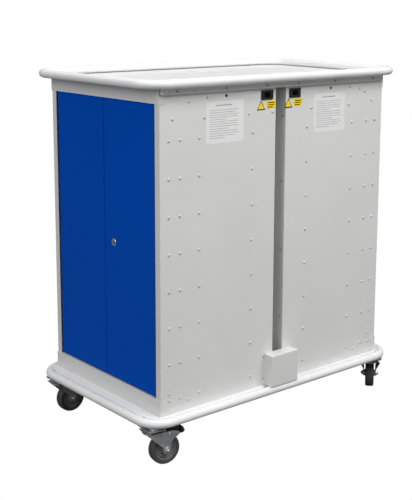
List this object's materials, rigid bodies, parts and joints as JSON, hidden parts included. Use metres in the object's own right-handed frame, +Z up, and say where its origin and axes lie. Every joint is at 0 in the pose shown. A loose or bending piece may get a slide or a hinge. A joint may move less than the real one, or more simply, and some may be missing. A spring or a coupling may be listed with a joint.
{
  "type": "mobile storage trolley",
  "caption": "Mobile steel storage trolley: double-door cabinets back to back on a castored platform with tube bumper and railed top.",
  "frame": {"origin": "on the floor, under the middle of the platform, midway between the two door ends and between the two long sides", "axes": "+Z up; X along the trolley from door end to door end, -X towards the left end with the visible doors; -Y towards the front long side with the inlets and the cable cover"},
  "size_m": [1.1537, 0.68, 1.206],
  "materials": {
    "white_paint": "gloss white powder coat",
    "grey_paint": "satin light grey powder coat",
    "blue_paint": "gloss blue powder coat",
    "galvanised": "galvanised",
    "chrome": "polished",
    "zinc": "zinc plated",
    "black_plastic": "moulded black",
    "tyre": "dark grey rubber",
    "hub_plastic": "grey moulded"
  },
  "bodies": {
    "trolley": {"platform": "white_paint", "bumper_rail": "white_paint", "cable_cover": "grey_paint", "top_frame": "grey_paint", "top_rail": "white_paint", "left_top_panel": "white_paint", "right_top_panel": "white_paint", "left_door_frame": "grey_paint", "left_side_panel_front": "grey_paint", "left_side_panel_rear": "grey_paint", "left_back_panel": "grey_paint", "left_floor_tray": "grey_paint", "left_shelf_rack": "grey_paint", "left_hinge_rod_front": "galvanised", "left_hinge_rod_rear": "galvanised", "left_mains_inlet": "black_plastic", "left_socket_strip": "black_plastic", "right_door_frame": "grey_paint", "right_side_panel_front": "grey_paint", "right_side_panel_rear": "grey_paint", "right_back_panel": "grey_paint", "right_floor_tray": "grey_paint", "right_shelf_rack": "grey_paint", "right_hinge_rod_front": "galvanised", "right_hinge_rod_rear": "galvanised", "right_mains_inlet": "black_plastic", "right_socket_strip": "black_plastic", "front_left_castor_plate": "zinc", "rear_left_castor_plate": "zinc", "front_right_castor_plate": "zinc", "rear_right_castor_plate": "zinc"},
    "left_front_leaf": {"left_door_front": "blue_paint", "left_lock_housing": "chrome"},
    "left_rear_leaf": {"left_door_rear": "blue_paint"},
    "left_lock_cam": {"left_lock_plug": "chrome"},
    "right_front_leaf": {"right_door_front": "blue_paint", "right_lock_housing": "chrome"},
    "right_rear_leaf": {"right_door_rear": "blue_paint"},
    "right_lock_cam": {"right_lock_plug": "chrome"},
    "front_left_swivel": {"front_left_castor_fork": "zinc", "front_left_castor_axle": "zinc"},
    "front_left_wheel": {"front_left_castor_tyre": "tyre", "front_left_castor_hub": "hub_plastic"},
    "front_left_pedal": {"front_left_brake_pedal": "black_plastic"},
    "rear_left_swivel": {"rear_left_castor_fork": "zinc", "rear_left_castor_axle": "zinc"},
    "rear_left_wheel": {"rear_left_castor_tyre": "tyre", "rear_left_castor_hub": "hub_plastic"},
    "rear_left_pedal": {"rear_left_brake_pedal": "black_plastic"},
    "front_right_swivel": {"front_right_castor_fork": "zinc", "front_right_castor_axle": "zinc"},
    "front_right_wheel": {"front_right_castor_tyre": "tyre", "front_right_castor_hub": "hub_plastic"},
    "front_right_pedal": {"front_right_brake_pedal": "black_plastic"},
    "rear_right_swivel": {"rear_right_castor_fork": "zinc", "rear_right_castor_axle": "zinc"},
    "rear_right_wheel": {"rear_right_castor_tyre": "tyre", "rear_right_castor_hub": "hub_plastic"},
    "rear_right_pedal": {"rear_right_brake_pedal": "black_plastic"}
  },
  "joints": [
    {"name": "left_front_leaf_hinge", "type": "hinge", "parent": "trolley", "child": "left_front_leaf", "pos_m": [-0.479, -0.2645, 0.674], "axis": [0, 0, 1], "range_deg": [0, 100]},
    {"name": "left_rear_leaf_hinge", "type": "hinge", "parent": "trolley", "child": "left_rear_leaf", "pos_m": [-0.479, 0.2645, 0.674], "axis": [0, 0, -1], "range_deg": [0, 100]},
    {"name": "left_lock_turn", "type": "hinge", "parent": "left_front_leaf", "child": "left_lock_cam", "pos_m": [-0.48, -0.0525, 0.673], "axis": [1, 0, 0], "range_deg": [0, 90]},
    {"name": "right_front_leaf_hinge", "type": "hinge", "parent": "trolley", "child": "right_front_leaf", "pos_m": [0.479, -0.2645, 0.674], "axis": [0, 0, -1], "range_deg": [0, 100]},
    {"name": "right_rear_leaf_hinge", "type": "hinge", "parent": "trolley", "child": "right_rear_leaf", "pos_m": [0.479, 0.2645, 0.674], "axis": [0, 0, 1], "range_deg": [0, 100]},
    {"name": "right_lock_turn", "type": "hinge", "parent": "right_front_leaf", "child": "right_lock_cam", "pos_m": [0.48, -0.0525, 0.673], "axis": [1, 0, 0], "range_deg": [0, 90]},
    {"name": "front_left_castor_swivel", "type": "hinge", "parent": "trolley", "child": "front_left_swivel", "pos_m": [-0.504, -0.271, 0.118], "axis": [0, 0, 1], "continuous": true},
    {"name": "front_left_wheel_roll", "type": "hinge", "parent": "front_left_swivel", "child": "front_left_wheel", "pos_m": [-0.46241, -0.27685, 0.05], "axis": [0.1392, 0.9903, 0], "continuous": true},
    {"name": "front_left_brake_press", "type": "hinge", "parent": "front_left_swivel", "child": "front_left_pedal", "pos_m": [-0.45746, -0.27754, 0.1054], "axis": [0.1392, 0.9903, 0], "range_deg": [0, 14]},
    {"name": "rear_left_castor_swivel", "type": "hinge", "parent": "trolley", "child": "rear_left_swivel", "pos_m": [-0.504, 0.271, 0.118], "axis": [0, 0, 1], "continuous": true},
    {"name": "rear_left_wheel_roll", "type": "hinge", "parent": "rear_left_swivel", "child": "rear_left_wheel", "pos_m": [-0.462, 0.271, 0.05], "axis": [0, 1, 0], "continuous": true},
    {"name": "rear_left_brake_press", "type": "hinge", "parent": "rear_left_swivel", "child": "rear_left_pedal", "pos_m": [-0.457, 0.271, 0.1054], "axis": [0, 1, 0], "range_deg": [0, 14]},
    {"name": "front_right_castor_swivel", "type": "hinge", "parent": "trolley", "child": "front_right_swivel", "pos_m": [0.504, -0.271, 0.118], "axis": [0, 0, 1], "continuous": true},
    {"name": "front_right_wheel_roll", "type": "hinge", "parent": "front_right_swivel", "child": "front_right_wheel", "pos_m": [0.53521, -0.2429, 0.05], "axis": [-0.6691, 0.7431, 0], "continuous": true},
    {"name": "front_right_brake_press", "type": "hinge", "parent": "front_right_swivel", "child": "front_right_pedal", "pos_m": [0.53893, -0.23955, 0.1054], "axis": [-0.6691, 0.7431, 0], "range_deg": [0, 14]},
    {"name": "rear_right_castor_swivel", "type": "hinge", "parent": "trolley", "child": "rear_right_swivel", "pos_m": [0.504, 0.271, 0.118], "axis": [0, 0, 1], "continuous": true},
    {"name": "rear_right_wheel_roll", "type": "hinge", "parent": "rear_right_swivel", "child": "rear_right_wheel", "pos_m": [0.46453, 0.28536, 0.05], "axis": [-0.342, -0.9397, 0], "continuous": true},
    {"name": "rear_right_brake_press", "type": "hinge", "parent": "rear_right_swivel", "child": "rear_right_pedal", "pos_m": [0.45983, 0.28707, 0.1054], "axis": [-0.342, -0.9397, 0], "range_deg": [0, 14]}
  ]
}
